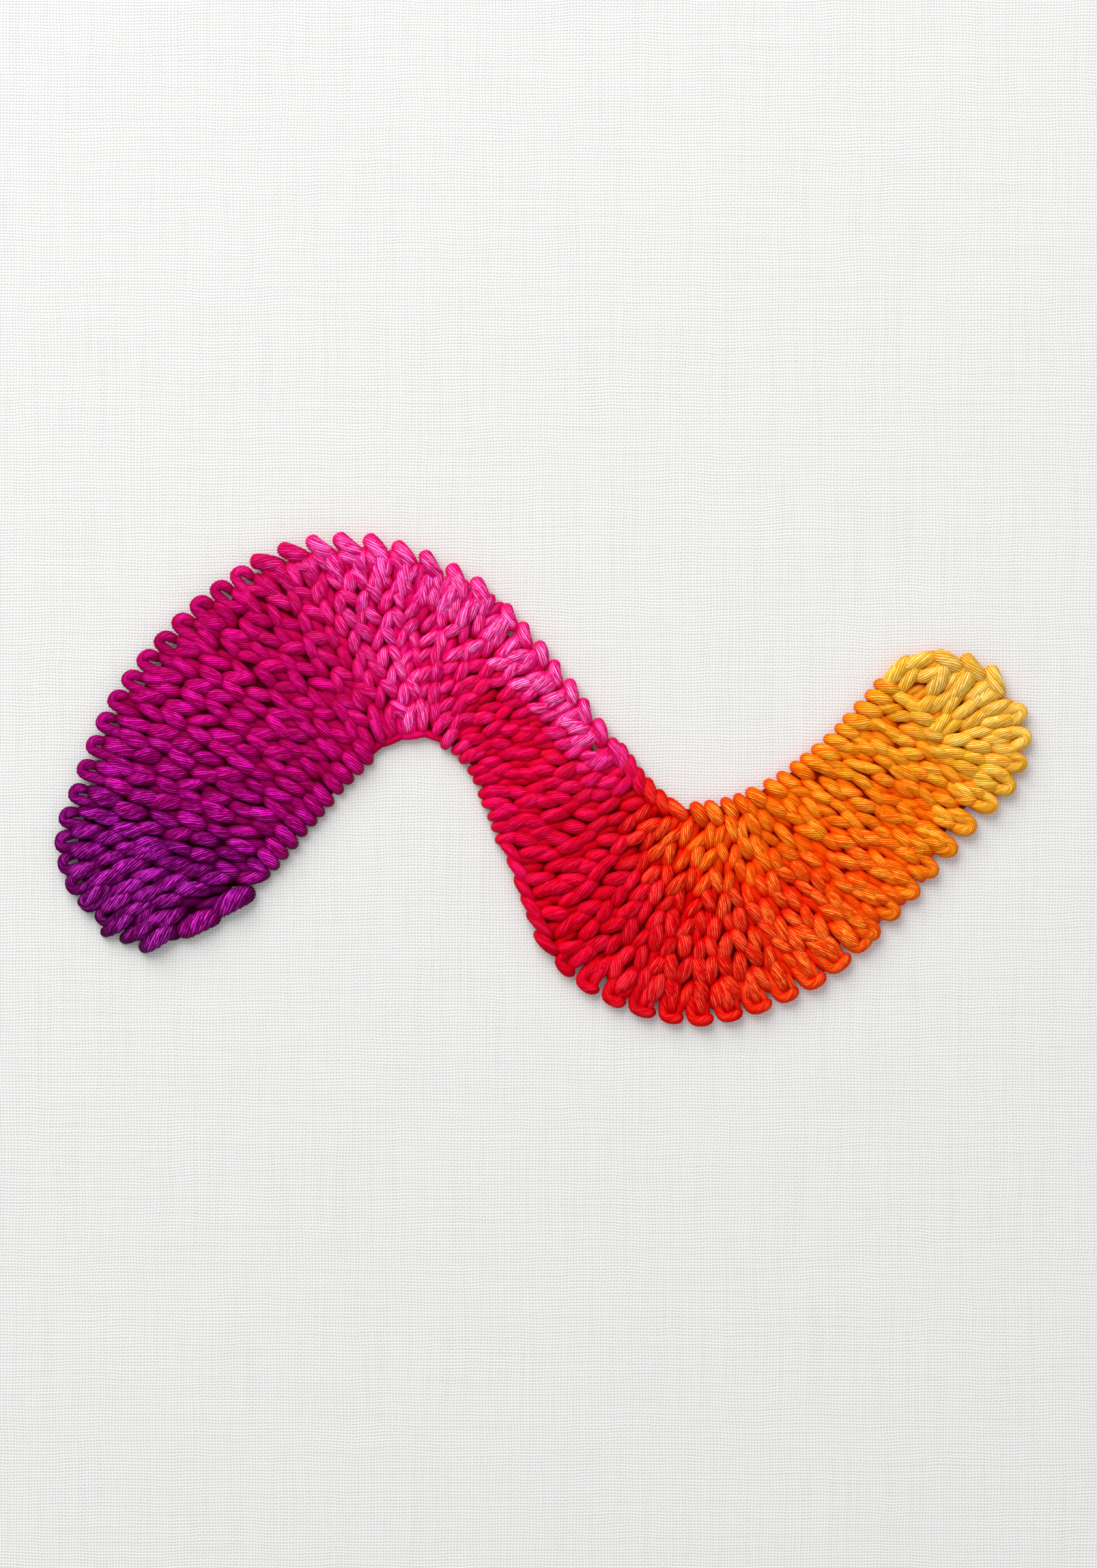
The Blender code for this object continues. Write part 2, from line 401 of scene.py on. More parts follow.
# Rims of short stitches side by side. turn is how far they turn from square to the rim, in degrees
# anticlockwise, and cord the girth of the thread that lies along the rim.
plainRims = table(
    "side from to pitch turn length girth cord",
    (-1, 0.1, 1.8, 1.72, -4, 2.7, 0.92, 0),
    (-1, 1.8, 4.1, 1.5, -8, 3.6, 0.76, 0.5),
    (-1, 4.1, 5.85, 1.5, -14, 2.8, 0.78, 0),
    (-1, 5.85, 6.8, 2.4, -72, 3.7, 0.78, 0),
    (1, 6.1, 7.6, 1.75, 62, 2.9, 0.86, 0),
    (1, 7.6, 9.0, 1.75, 18, 2.6, 0.9, 0),
    (1, 9.0, 10.9, 1.8, 26, 2.8, 0.9, 0),
)
rimCord = {"pitch": 2.2, "length": 4.2, "crown": 0.8}
# Single stitches that close the purple end at its lower rim. clear keeps the others away, in mm, and hue
# is the place on the band that their dye comes from.
startStrays = table(
    "at slope length girth crown clear hue",
    ((-46.9, -18.5), 4, 3.3, 0.8, 1.0, 0, -0.6),
    ((-49.9, -18.1), -24, 3.0, 0.78, 1.0, 0, -0.6),
    ((-46.0, -16.2), 34, 3.8, 0.84, 1.15, 1.0, -0.4),
    ((-49.0, -16.0), 50, 3.6, 0.8, 1.1, 1.0, -0.5),
    ((-36.2, -11.2), 8, 3.2, 0.92, 1.2, 1.0, 0.4),
    ((-38.4, -14.3), 29, 4.4, 1.42, 1.05, 2.6, 0.1),
    ((-42.6, -17.0), 26, 4.6, 1.42, 1.05, 2.6, 0.2),
)


def byStray(spot):
    return any((spot - Vector(stray["at"])).length < stray["clear"] for stray in startStrays)


def hookedRim(place, across):
    for rim in hookedRims + beanRims:
        if rim["side"] == math.copysign(1, across) and rim["from"] <= place < rim["to"]:
            return rim


def rimWays(place, side):
    # along the rim, square to it, and the way in which the stitches reach it
    along = alongway(place, side)
    square = leftOf(along) * side
    grain = grainWay(place, side)
    grain = grain if grain.dot(square) > 0 else -grain
    return along, square, square.lerp(grain, 0.6).normalized()


def layUnder(place, side, centre, outward, length, girth):
    layGrain(place, side * 0.75, centre, turned(outward, eitherWay(6)), length * luck.uniform(0.9, 1.1),
             girth * luck.uniform(0.94, 1.08))


def layBean(place, rim):
    side = rim["side"]
    legLength, legGirth = rim["leg"]
    aside, inward, *size = rim["under"]
    edge = bandPoint(place, side)
    along, square, outward = rimWays(place, side)
    way = turned(along, rim["turn"] + eitherWay(5))
    length = rim["length"] * luck.uniform(0.92, 1.08)
    girth = rim["girth"] * luck.uniform(0.94, 1.06)
    centre = edge - square * (girth * 0.86 - way.dot(square) * length / 2 * 0.72) + along * 0.15
    foot = centre - way * (length / 2 - legGirth)
    layGrain(place, side * 0.9, foot - outward * (legLength / 2 - 0.2), turned(outward, eitherWay(4)),
             legLength, legGirth, 0.98)
    layUnder(place, side, edge + along * aside - outward * inward, outward, *size)
    layGrain(place, side * 0.95, centre, way, length, girth, 1.22, (0.7, 0.9))


def layHook(place, rim):
    side, knots = rim["side"], rim["knots"]
    edge = bandPoint(place, side)
    along, square, outward = rimWays(place, side)
    along = along * rim["curl"]
    half = rim["half"] * luck.uniform(0.9, 1.1)
    girth = rim["girth"] * luck.uniform(0.92, 1.08)
    deep = luck.uniform(0.88, 1.12)
    count = 18
    path, girths = [], []
    for i in range(count):
        u, v, z = smoothPoint([knot[:3] for knot in knots], i / (count - 1) * (len(knots) - 1))
        leaned = outward * (v + 0.8) * deep + square * -0.8
        point = edge + along * u * half + leaned
        path.append((point.x, point.y, z))
        girths.append(girth * fromTable([knot[3] for knot in knots], i / (count - 1)))
    addStitch(place, side * 0.95, path, girths, 2)
    if rim["lip"]:
        layGrain(place, side * 0.9, edge + along * half * 0.98 - square * 2.1, turned(square, eitherWay(8)),
                 2.6, 0.42)
    if rim["under"]:
        aside, inward, *size = rim["under"]
        layUnder(place, side, edge + along * aside * half - outward * inward, outward, *size)


def rowStretches():
    # stretches of the band with one number of rows
    stretches, start = [], 0
    for i in range(lastRung):
        if rungs[i]["rows"] != rungs[i + 1]["rows"]:
            stretches.append((start, i + 0.5, rungs[i]["rows"]))
            start = i + 0.5
    return stretches + [(start, lastRung, rungs[-1]["rows"])]


def rowPlaces(start, end, across):
    # where the stitches of one row lie, spaced square to their lean
    places, left = [], luck.random()
    parts = max(2, round((end - start) * 3))
    for part in range(parts):
        here, there = mix(start, end, part / parts), mix(start, end, (part + 1) / parts)
        halfway = (here + there) / 2
        pitch = stitch["pitch"] * sizeAt(halfway, across) / math.cos(math.radians(leanAt(halfway, across)))
        spots = [bandPoint(mix(here, there, k / 8), across) for k in range(9)]
        length = sum((b - a).length for a, b in zip(spots, spots[1:]))
        walked = left * pitch
        while walked < length:
            places.append(mix(here, there, walked / length))
            walked += pitch * luck.uniform(0.93, 1.07)
        left = (walked - length) / pitch
    return places


def stitchRow(places, across, rows):
    for i, place in enumerate(places):
        spacing = bandWidth(place) / rows
        wanted = spacing / math.cos(math.radians(leanAt(place, across))) * stitch["overlap"]
        length = min(max(wanted * luck.uniform(*stitch["lengths"]), stitch["shortest"]), stitch["longest"])
        turn = 1 if i % 2 else -1
        fan = fromTable(fans, place / lastRung) * turn
        way = turned(grainWay(place, across), fan + eitherWay(stitch["sway"]))
        shift = eitherWay(stitch["shift"]) + stitch["stagger"] * turn
        girth = stitch["girth"] * sizeAt(place, across) * luck.uniform(*stitch["girths"])
        spot = bandPoint(place, across) + crossway(place) * shift
        if not byStray(spot):
            layGrain(place, across, spot, way, length, girth)


def stitchBody():
    for start, end, rows in rowStretches():
        for row in range(rows):
            across = -1 + (2 * row + 1) / rows
            places = rowPlaces(start, end, across)
            if 0 < row < rows - 1:  # the rims have stitches of their own
                stitchRow(places, across, rows)


def stitchRims():
    for rims, lay in ((hookedRims, layHook), (beanRims, layBean)):
        for rim in rims:
            for place in stepsAlong(rim["from"], rim["to"], rim["side"], rim["pitch"]):
                lay(place, rim)
    for rim in plainRims:
        side, cord = rim["side"], rim["cord"]
        for place in stepsAlong(rim["from"], rim["to"], side, rim["pitch"]):
            square = leftOf(alongway(place, side)) * side
            way = turned(square, rim["turn"] + eitherWay(7))
            girth = rim["girth"] * luck.uniform(0.92, 1.08)
            length = rim["length"] * luck.uniform(0.92, 1.08)
            inward = max(length / 2 * abs(way.dot(square)), girth) + luck.uniform(0, 0.14) + cord * 1.5
            layGrain(place, side * 0.92, bandPoint(place, side) - square * inward, way, length, girth)
        if not cord:
            continue
        for place in stepsAlong(rim["from"], rim["to"], side, rimCord["pitch"]):
            along = alongway(place, side)
            layGrain(place, side * 0.97, bandPoint(place, side) - leftOf(along) * side * cord,
                     turned(along, eitherWay(3)), rimCord["length"], cord, rimCord["crown"])


startCap = {
    "firstLine": 0.9,  # from the first guide line to the first line of stitches
    "lineStep": 2.3,
    "tip": 1.2,  # kept free at the tip
    "lowerInset": 2.6,  # and at the two rims
    "upperInset": 3.0,
    "pitch": 2.7,
    "length": 4.4,
    "girth": 1.02,
}


def stitchStartCap():
    # slanted stitches in lines that run with the first guide line, then single ones along the rim
    depth, line = startCap["firstLine"], 0
    while depth < band["startCap"] - startCap["tip"]:
        place = -math.asin(depth / band["startCap"]) / quarterTurn
        width = bandWidth(place)
        reach = startCap["lowerInset"] + (line % 2) * startCap["pitch"] / 2
        while reach < width - startCap["upperInset"]:
            across = -1 + 2 * reach / width
            way = turned(grainWay(place, across), eitherWay(8) + 180)
            spot = bandPoint(place, across)
            if not byStray(spot):
                layGrain(place, across, spot, way, startCap["length"] * luck.uniform(0.86, 1.12),
                         startCap["girth"] * luck.uniform(0.9, 1.1))
            reach += startCap["pitch"] * luck.uniform(0.92, 1.08)
        depth += startCap["lineStep"]
        line += 1
    for stray in startStrays:
        way = turned(Vector((1, 0)), stray["slope"])
        layGrain(stray["hue"], -0.8, Vector(stray["at"]), way, stray["length"], stray["girth"],
                 stray["crown"], stitch["head"])


endCap = {
    "long": ((10.92, 0.95, 4.2), (11.14, 0.95, 5.4), (10.98, 2.6, 4.0), (11.26, 2.7, 4.4)),
    "longGirth": 0.96,
    "longOver": (0.55, 11.25),  # share across and guide line between which they lie
    "rings": (0.68, 0.42, 0.18),  # share of the way from the middle to the rim
    "pitch": 1.6,
    "length": 3.7,
}


def stitchEndCap():
    # long stitches along the upper rim, each with its place, way in and length, then rings that radiate
    # from the middle of the last guide line
    for place, inward, length in endCap["long"]:
        way = alongway(place, 1)
        layGrain(place, 0.95, bandPoint(place, 1) - leftOf(way) * inward, way, length, endCap["longGirth"])
    base = (Vector(lowerRim[-1]) + Vector(upperRim[-1])) / 2
    half = (Vector(upperRim[-1]) - Vector(lowerRim[-1])) / 2
    outward = Vector((half.y, -half.x)).normalized()
    count = 200
    for ring in endCap["rings"]:
        walked, wanted = 0, endCap["pitch"] * 0.5
        previous = half * ring
        for i in range(1, count + 1):
            angle = math.pi * i / count
            offset = half * ring * math.cos(angle) + outward * band["endCap"] * ring * math.sin(angle)
            walked += (offset - previous).length
            previous = offset
            if walked < wanted:
                continue
            wanted += endCap["pitch"]
            across = math.cos(angle) * ring
            place = lastRung + math.asin(math.sin(angle) * ring) / quarterTurn
            spoke = turned(crossway(lastRung), -math.degrees(angle))
            way = turned(spoke, fromTable(band["endTurns"], angle / math.pi) + eitherWay(9))
            if across > endCap["longOver"][0] and place < endCap["longOver"][1]:
                continue
            layGrain(place, across, base + offset, way, endCap["length"] * luck.uniform(0.88, 1.14),
                     stitch["girth"] * luck.uniform(0.92, 1.1))


# Stitches that fill what the others leave bare, lower down
filling = {
    "cell": 0.45,  # mm between the spots that are looked at
    "past": 0.97,  # how far into the round ends they are
    "reach": 1.12,  # share of a girth that counts as covered
    "plainRim": 1.5,  # mm kept free at a plain rim
    "hookedRim": 2.7,  # and at a hooked one, where linen shows through
    "beanRim": 2.0,
    "length": 3.0,
    "girth": 0.68,
    "crown": 0.8,
}


def cover(covered, laid):
    cell, path, girths = filling["cell"], laid["path"], laid["girths"]
    for i in range(len(path) - 1):
        for part in (0, 0.5):
            x, y = (mix(path[i][k], path[i + 1][k], part) for k in (0, 1))
            reach = mix(girths[i], girths[i + 1], part) * filling["reach"]
            for column in range(math.ceil((x - reach) / cell), math.floor((x + reach) / cell) + 1):
                for row in range(math.ceil((y - reach) / cell), math.floor((y + reach) / cell) + 1):
                    if math.hypot(column * cell - x, row * cell - y) <= reach:
                        covered.add((column, row))


def rimDistance(place, across):
    onBand = min(max(place, 0), lastRung)
    past = abs(place - onBand) * quarterTurn
    away = math.hypot(math.sin(past), math.cos(past) * across)
    half = bandWidth(onBand) / 2
    return (1 - away) * (min(half, (band["startCap"] + band["endCap"]) / 2) if past else half)


def fillBareSpots():
    covered = set()
    for area in threadAreas:
        for laid in area["stitches"]:
            cover(covered, laid)
    cell = filling["cell"]
    for place in stepsAlong(-filling["past"], lastRung + filling["past"], 0, cell):
        steps = max(2, round(bandWidth(place) / cell))
        for j in range(steps + 1):
            across = -1 + 2 * j / steps
            rim = hookedRim(place, across or 1)
            free = filling["plainRim" if not rim else "hookedRim" if rim in hookedRims else "beanRim"]
            spot = bandPoint(place, across)
            if rimDistance(place, across) < free or byStray(spot):
                continue
            if (round(spot.x / cell), round(spot.y / cell)) in covered:
                continue
            way = turned(grainWay(place, across), eitherWay(10))
            cover(covered, layGrain(place, across, spot, way, filling["length"] * luck.uniform(0.85, 1.15),
                                    filling["girth"] * luck.uniform(0.9, 1.15), filling["crown"]))


stitchBody()
stitchRims()
stitchStartCap()
stitchEndCap()
shown = stitchesLaid()
print("stitches laid:", shown)
fillBareSpots()
print("stitches between the others:", stitchesLaid() - shown)


strands = {
    "Strands": 16,  # ridges around a stitch
    "Groove": 0.15,  # depth between two strands, over the girth
    "Twist": -0.55 / mm,  # radians along a stitch
    "Flatten": 0.86,  # height of the bundle over its width
    "Seed": 7,
}
padding = {
    "inset": 0.5,  # from the rim
    "hookInset": 2.9,  # from a hooked rim, where linen shows between the hooks
    "hookedEnds": (0, 11.2),  # guide lines past which the rim counts as hooked
    "ends": (-0.7, 0.62),  # reach past the first and the last guide line
    "fades": (-0.72, 0.64),  # and where it has thinned out to nothing
    "lineGap": 12,  # mm between guide lines, more or less
    "height": 0.62,  # over the linen
    "least": 0.02,
    "swell": 0.12,  # how much it rises and falls
    "swellSpan": 1.3,
    "sunk": 0.12,  # below the face of the linen
    "slope": 1.3,
    # painted shade: the padding's dye is darkened to this share
    "shade": 0.6,  # of the dye, for little light gets in there
    "cells": (11, 14),  # of its mesh, for each half width and each guide line
}


def strandTree():
    tree = bpy.data.node_groups.new("strands", "GeometryNodeTree")
    for name, kind in (("Geometry", "Geometry"), ("Strands", "Int"), ("Seed", "Int"), ("Twist", "Float"),
                       ("Groove", "Float"), ("Flatten", "Float"), ("Material", "Material")):
        tree.interface.new_socket(name, in_out="INPUT", socket_type="NodeSocket" + kind)
    tree.interface.new_socket("Geometry", in_out="OUTPUT", socket_type="NodeSocketGeometry")
    given = addNode(tree, "NodeGroupInput").outputs
    place = addNode(tree, "GeometryNodeInputPosition")
    named = {name: addNode(tree, "GeometryNodeInputNamedAttribute", {"Name": name},
                           data_type="FLOAT_VECTOR" if name == "centre" else "FLOAT")
             for name in ("padding", "phase", "wind", "girth", "centre", "number", "strand")}

    # the padding lies in the same mesh as the paths of the stitches, and stays as it is
    parted = addNode(tree, "GeometryNodeSeparateGeometry", {
        "Geometry": given["Geometry"], "Selection": named["padding"]})
    paths = addNode(tree, "GeometryNodeMeshToCurve", {"Mesh": parted.outputs["Inverted"]})
    length = addNode(tree, "GeometryNodeSplineParameter").outputs["Length"]
    twist = addNode(tree, "ShaderNodeMath", {0: named["wind"], 1: given["Twist"]}, operation="MULTIPLY")
    tilt = addNode(tree, "ShaderNodeMath", {0: length, 1: twist, 2: named["phase"]}, operation="MULTIPLY_ADD")
    wound = addNode(tree, "GeometryNodeSetCurveTilt", {"Curve": paths, "Tilt": tilt})
    for name, kind, value in (("centre", "FLOAT_VECTOR", place), ("along", "FLOAT", length)):
        wound = addNode(tree, "GeometryNodeStoreNamedAttribute", {
            "Geometry": wound, "Name": name, "Value": value}, data_type=kind)

    # the ring that is swept along each path: a raised point and a low point to a strand
    points = addNode(tree, "ShaderNodeMath", {0: given["Strands"], 1: 2.0}, operation="MULTIPLY")
    ring = addNode(tree, "GeometryNodeCurvePrimitiveCircle", {"Resolution": points})
    index = addNode(tree, "GeometryNodeInputIndex")
    pair = addNode(tree, "ShaderNodeMath", {0: index, 1: 2.0}, operation="DIVIDE")
    strand = addNode(tree, "ShaderNodeMath", {0: pair}, operation="FLOOR")
    rest = addNode(tree, "ShaderNodeMath", {0: index, 1: 2.0}, operation="MODULO")
    low = addNode(tree, "ShaderNodeMath", {0: rest, 1: 0.5}, operation="GREATER_THAN")
    for name, kind, value in (("around", "FLOAT_VECTOR", place), ("strand", "FLOAT", strand),
                              ("groove", "FLOAT", low)):
        ring = addNode(tree, "GeometryNodeStoreNamedAttribute", {
            "Geometry": ring, "Name": name, "Value": value}, data_type=kind)
    cut = addNode(tree, "ShaderNodeMath", {0: low, 1: given["Groove"]}, operation="MULTIPLY")
    size = addNode(tree, "ShaderNodeMath", {0: 1.0, 1: cut}, operation="SUBTRACT")
    shrunk = addNode(tree, "ShaderNodeVectorMath", {0: place, "Scale": size}, operation="SCALE")
    grooved = addNode(tree, "GeometryNodeSetPosition", {"Geometry": ring, "Position": shrunk})
    swept = addNode(tree, "GeometryNodeCurveToMesh", {
        "Curve": wound, "Profile Curve": grooved, "Scale": named["girth"], "Fill Caps": True})

    # bundles lie a little flat
    offset = addNode(tree, "ShaderNodeVectorMath", {0: named["centre"], 1: place}, operation="SUBTRACT")
    upright = addNode(tree, "ShaderNodeSeparateXYZ", {0: offset})
    share = addNode(tree, "ShaderNodeMath", {0: 1.0, 1: given["Flatten"]}, operation="SUBTRACT")
    drop = addNode(tree, "ShaderNodeMath", {0: upright.outputs["Z"], 1: share}, operation="MULTIPLY")
    dropped = addNode(tree, "ShaderNodeCombineXYZ", {"Z": drop})
    flat = addNode(tree, "GeometryNodeSetPosition", {"Geometry": swept, "Offset": dropped})

    # every strand of every stitch takes the dye a little differently
    own = addNode(tree, "ShaderNodeMath", {
        0: named["number"], 1: 64.0, 2: named["strand"]}, operation="MULTIPLY_ADD")
    chance = addNode(tree, "FunctionNodeRandomValue", {"ID": own, "Seed": given["Seed"]})
    dyed = addNode(tree, "GeometryNodeStoreNamedAttribute", {
        "Geometry": flat, "Name": "luck", "Value": chance.outputs[1]})
    smooth = addNode(tree, "GeometryNodeSetShadeSmooth", {"Geometry": dyed})
    join = addNode(tree, "GeometryNodeJoinGeometry", {0: smooth})
    tree.links.new(parted.outputs["Selection"], join.inputs[0])
    real = addNode(tree, "GeometryNodeRealizeInstances", {"Geometry": join})
    finish = addNode(tree, "GeometryNodeSetMaterial", {"Geometry": real, "Material": given["Material"]})
    addNode(tree, "NodeGroupOutput", {0: finish})
    return tree


cotton = {
    "fibreLength": 1.3,  # mm
    "fibresAround": (5.5, 5.5, 0),
    "fibreHeight": 0.07,  # mm
    "evenness": (0.84, 1.12),  # least and most dye that a strand takes
    "streaks": (0.78, 1.16),  # the same along its fibres
    # painted shade and painted highlight: heights over the linen over which the painted deep shade gives way
    # to the dye, and over which the painted highlight comes in full
    "paintedShadeHeights": (0.65, 1.55),  # heights over the linen between which the deep tone gives way to the dye
    "paintedHighlightHeights": (1.3, 1.95),  # and those between which light reaches a strand in full
    "roughness": 0.5,
    "specular": 0.12,
    "sheen": 0.02,
}


def strandedCotton(name, gloss):
    # mercerised stranded cotton, so silky and full-coloured, with its fibres along each strand
    material, tree = newMaterial(name)
    read = {key: addNode(tree, "ShaderNodeAttribute", attribute_name=key).outputs
            for key in ("dye", "deep", "lit", "luck", "number", "around", "along", "groove")}
    # noise that is fine around the stitch and long along it. A fibre is 0.02 mm thick, too fine to show,
    # so they are drawn about five times as coarse.
    shifted = addNode(tree, "ShaderNodeMath", {0: read["number"]["Fac"], 1: 7.0}, operation="MULTIPLY")
    stretch = addNode(tree, "ShaderNodeMath", {
        0: read["along"]["Fac"], 1: 1 / (cotton["fibreLength"] * mm), 2: shifted}, operation="MULTIPLY_ADD")
    lengthwise = addNode(tree, "ShaderNodeCombineXYZ", {"Z": stretch})
    fibrePlace = addNode(tree, "ShaderNodeVectorMath", {
        0: read["around"]["Vector"], 1: cotton["fibresAround"], 2: lengthwise}, operation="MULTIPLY_ADD")
    fibre = addNode(tree, "ShaderNodeTexNoise", {
        "Vector": fibrePlace, "Scale": 1.6, "Detail": 3.0, "Roughness": 0.6})
    relief = addNode(tree, "ShaderNodeBump", {
        "Strength": 0.55, "Distance": cotton["fibreHeight"] * mm, "Height": fibre})
    tone = addNode(tree, "ShaderNodeMapRange", {
        "Value": read["luck"]["Fac"], "To Min": cotton["evenness"][0], "To Max": cotton["evenness"][1]})
    streak = addNode(tree, "ShaderNodeMapRange", {
        "Value": fibre, "From Min": 0.3, "From Max": 0.7,
        "To Min": cotton["streaks"][0], "To Max": cotton["streaks"][1]})
    strength = addNode(tree, "ShaderNodeMath", {0: tone, 1: streak}, operation="MULTIPLY")
    # painted shade and painted highlight: the thread is drawn deeper and redder low down and in the grooves,
    # and brighter on top of a stitch
    place = addNode(tree, "ShaderNodeTexCoord").outputs["Object"]
    height = addNode(tree, "ShaderNodeSeparateXYZ", {0: place}).outputs["Z"]
    raised, topped = (addNode(tree, "ShaderNodeMapRange", {
        "Value": height, "From Min": linenTop * mm + cotton[key][0] * mm,
        "From Max": linenTop * mm + cotton[key][1] * mm}, interpolation_type="SMOOTHSTEP")
        for key in ("paintedShadeHeights", "paintedHighlightHeights"))
    ridge = addNode(tree, "ShaderNodeMapRange", {
        "Value": read["groove"]["Fac"], "From Min": 0.2, "From Max": 0.95, "To Min": 1.0, "To Max": 0.1},
        interpolation_type="SMOOTHSTEP")
    rise = addNode(tree, "ShaderNodeMath", {0: raised, 1: ridge}, operation="MULTIPLY")
    # painted highlight: light is drawn catching some strands more than others, in short streaks
    caught = addNode(tree, "ShaderNodeMath", {
        0: read["luck"]["Fac"], 1: 0.16, 2: fibre}, operation="MULTIPLY_ADD")
    fleck = addNode(tree, "ShaderNodeMapRange", {
        "Value": caught, "From Min": 0.54, "From Max": 0.69, "To Min": 0.0, "To Max": 1.3})
    ridgeTop = addNode(tree, "ShaderNodeMath", {0: topped, 1: ridge}, operation="MULTIPLY")
    paintedHighlightMask = addNode(tree, "ShaderNodeMath", {0: ridgeTop, 1: fleck}, operation="MULTIPLY", use_clamp=True)
    paintedShadeColour = addNode(tree, "ShaderNodeMix", {
        0: rise, 6: read["deep"]["Color"], 7: read["dye"]["Color"]}, data_type="RGBA")
    whole = addNode(tree, "ShaderNodeMix", {
        0: paintedHighlightMask, 6: paintedShadeColour.outputs[2], 7: read["lit"]["Color"]}, data_type="RGBA")
    dyed = addNode(tree, "ShaderNodeVectorMath", {0: whole.outputs[2], "Scale": strength}, operation="SCALE")
    tint = (*linear(gloss), 1)
    setInputs(tree, tree.nodes["Principled BSDF"], {
        "Base Color": dyed, "Normal": relief, "Roughness": cotton["roughness"],
        "Specular IOR Level": cotton["specular"], "Specular Tint": tint,
        "Sheen Weight": cotton["sheen"], "Sheen Roughness": cotton["roughness"], "Sheen Tint": tint})
    return material


def rimInset(place, side):
    first, last = padding["hookedEnds"]
    hooked = place < first or place > last or hookedRim(place, side)
    return padding["hookInset" if hooked else "inset"]


def padPoint(place, across):
    # a point of the padding and its height over the linen
    half = max(bandWidth(place) / 2, 0.5)
    low = -1 + rimInset(place, -1) / half
    high = 1 - rimInset(place, 1) / half
    held = min(max(across, low), high)
    edge = min(held - low, high - held) * half
    startFade, endFade = padding["fades"]
    ends = min(place - startFade, lastRung + endFade - place) * padding["lineGap"]
    rise = smoothShare(0, padding["slope"], min(edge, ends) + 0.05)
    point = bandPoint(place, held)
    span = padding["swellSpan"]
    swell = padding["swell"] * noise.noise(Vector((point.x / span, point.y / span, 5)))
    return point, (padding["height"] + swell) * rise + padding["least"]


def padMesh(area):
    # closed block of thread under the stitches of one area, its colour darkened as painted shade
    start = max(area["from"], padding["ends"][0])
    end = min(area["to"], lastRung + padding["ends"][1])
    across = max(2, round((area["high"] - area["low"]) * padding["cells"][0]))
    along = max(2, round((end - start) * padding["cells"][1]))
    points, faces, dyes = [], [], []
    for layer in (0, 1):
        for i in range(along + 1):
            place = mix(start, end, i / along)
            for j in range(across + 1):
                share = mix(area["low"], area["high"], j / across)
                point, height = padPoint(place, share)
                points.append((point.x, point.y, height if layer else -padding["sunk"]))
                # painted shade: the padding takes a darkened dye, with a further painted crevice shade below
                # it
                dye = [c * padding["shade"] for c in threadColour(place, share, 0)]
                dyes.append((paintedCreviceShade(dye), dye, dye))
    row = across + 1
    sheet = row * (along + 1)
    for i in range(along):
        for j in range(across):
            a = i * row + j
            faces.append((a, a + 1, a + row + 1, a + row))
            faces.append((sheet + a, sheet + a + row, sheet + a + row + 1, sheet + a + 1))
    rim = ([(0, j) for j in range(across)] + [(i, across) for i in range(along)]
           + [(along, across - j) for j in range(across)] + [(along - i, 0) for i in range(along)])
    spots = [i * row + j for i, j in rim]
    for a, b in zip(spots, spots[1:] + spots[:1]):
        faces.append((b, a, sheet + a, sheet + b))
    return points, faces, dyes


def threadPiece(area, tree):
    # padding and paths in one mesh, which the strands tree turns into thread
    points, faces, dyes = padMesh(area)
    edges, stored = [], [(0, 0, 0, 0, 1)] * len(points)
    for laid in area["stitches"]:
        phase, count = luck.uniform(0, math.tau), len(laid["path"])
        edges += [(i, i + 1) for i in range(len(points), len(points) + count - 1)]
        points += laid["path"]
        stored += [(girth * mm, laid["wind"], phase, laid["number"], 0) for girth in laid["girths"]]
        dyes += [laid["colours"]] * count
    name = "thread_" + area["thread"]
    mesh = bpy.data.meshes.new(name)
    mesh.from_pydata([(x * mm, y * mm, (z + linenTop) * mm) for x, y, z in points], edges, faces)
    for key, values in zip(("girth", "wind", "phase", "number", "padding"), zip(*stored)):
        mesh.attributes.new(key, "FLOAT", "POINT").data.foreach_set("value", values)
    # deep holds a painted shade for low down and in the grooves, lit a painted highlight for the top
    for tone, key in enumerate(("deep", "dye", "lit")):
        flat = [part for colours in dyes for part in (*colours[tone], 1)]
        mesh.attributes.new(key, "FLOAT_COLOR", "POINT").data.foreach_set("color", flat)
    mesh.shade_smooth()
    guide = addObject(name + " paths", mesh)
    modifier = guide.modifiers.new("strands", "NODES")
    modifier.node_group = tree
    wanted = {**strands, "Material": strandedCotton("stranded cotton " + area["thread"], area["gloss"])}
    for item in tree.interface.items_tree:
        if item.in_out == "INPUT" and item.name in wanted:
            modifier[item.identifier] = wanted[item.name]
    evaluated = guide.evaluated_get(bpy.context.evaluated_depsgraph_get())
    made = bpy.data.meshes.new_from_object(evaluated)
    guide.modifiers.remove(modifier)
    bpy.data.objects.remove(guide, do_unlink=True)
    for key in ("girth", "wind", "phase", "centre", "strand", "padding"):
        made.attributes.remove(made.attributes[key])
    piece = addObject(name, made)
    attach(piece, "root")
    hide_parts(area["node"])
    return piece


strandsTree = strandTree()
triangles = 0
for area in threadAreas:
    piece = threadPiece(area, strandsTree)
    count = sum(len(face.vertices) - 2 for face in piece.data.polygons)
    triangles += count
    print(piece.name, "stitches", len(area["stitches"]), "triangles", count)
print("thread triangles:", triangles)


